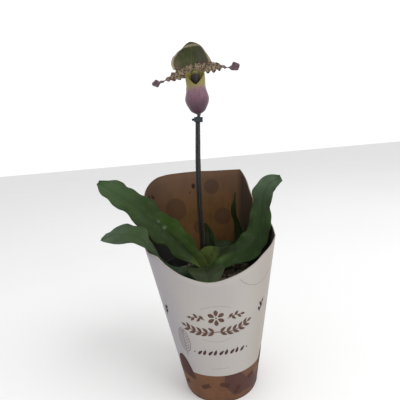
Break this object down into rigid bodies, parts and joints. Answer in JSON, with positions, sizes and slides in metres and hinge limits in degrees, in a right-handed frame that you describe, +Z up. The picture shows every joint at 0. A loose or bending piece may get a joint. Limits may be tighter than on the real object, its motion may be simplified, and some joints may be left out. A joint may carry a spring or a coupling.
{
  "type": "potted slipper orchid",
  "caption": "Slipper orchid with a single flower on a staked stem, strap leaves, and a nursery pot in a tapered card sleeve with a raised back.",
  "frame": {"origin": "middle of the flat disc under the nursery pot, on the surface it stands on", "axes": "+Z up along the pot, -Y the side the flower and the sleeve's low front face, +X to the right seen from the front"},
  "size_m": [0.1842, 0.1312, 0.3301],
  "materials": {
    "nursery_pot": "black injection-moulded plastic, satin",
    "bark_mix": "rough bark chips",
    "printed_card": "matt, white with brown print outside and brown inside",
    "green_stem": "waxy",
    "stake_plastic": "dark grey-green, satin",
    "hairy_stem": "dark, finely hairy",
    "clip_plastic": "dark green-grey, satin",
    "leaf": "fleshy leaf, soft sheen",
    "ovary_green": "finely hairy",
    "bract_green": "finely hairy",
    "column_green": "waxy",
    "sepal_green": "dark olive with cream margins",
    "sepal_back_green": "pale green, dull",
    "staminode_maroon": "dark maroon shield",
    "pouch_pink": "waxy, pink-purple with a yellow-green rim",
    "petal_cream": "cream with maroon spots, dull"
  },
  "bodies": {
    "root": {"nursery_pot": "nursery_pot", "potting_bark": "bark_mix", "card_sleeve": "printed_card", "crown": "green_stem", "support_stake": "stake_plastic", "scape": "hairy_stem", "stake_clip": "clip_plastic", "leaf_left_upper": "leaf", "leaf_right_upper": "leaf", "leaf_centre_small": "leaf", "leaf_left_lower": "leaf", "leaf_back_narrow": "leaf", "leaf_back_low": "leaf", "leaf_front": "leaf", "ovary": "ovary_green", "floral_bract": "bract_green", "column": "column_green", "dorsal_sepal": "sepal_green", "synsepal": "sepal_back_green", "staminode": "staminode_maroon", "lip_pouch": "pouch_pink", "petal_left": "petal_cream", "petal_right": "petal_cream"}
  },
  "joints": []
}
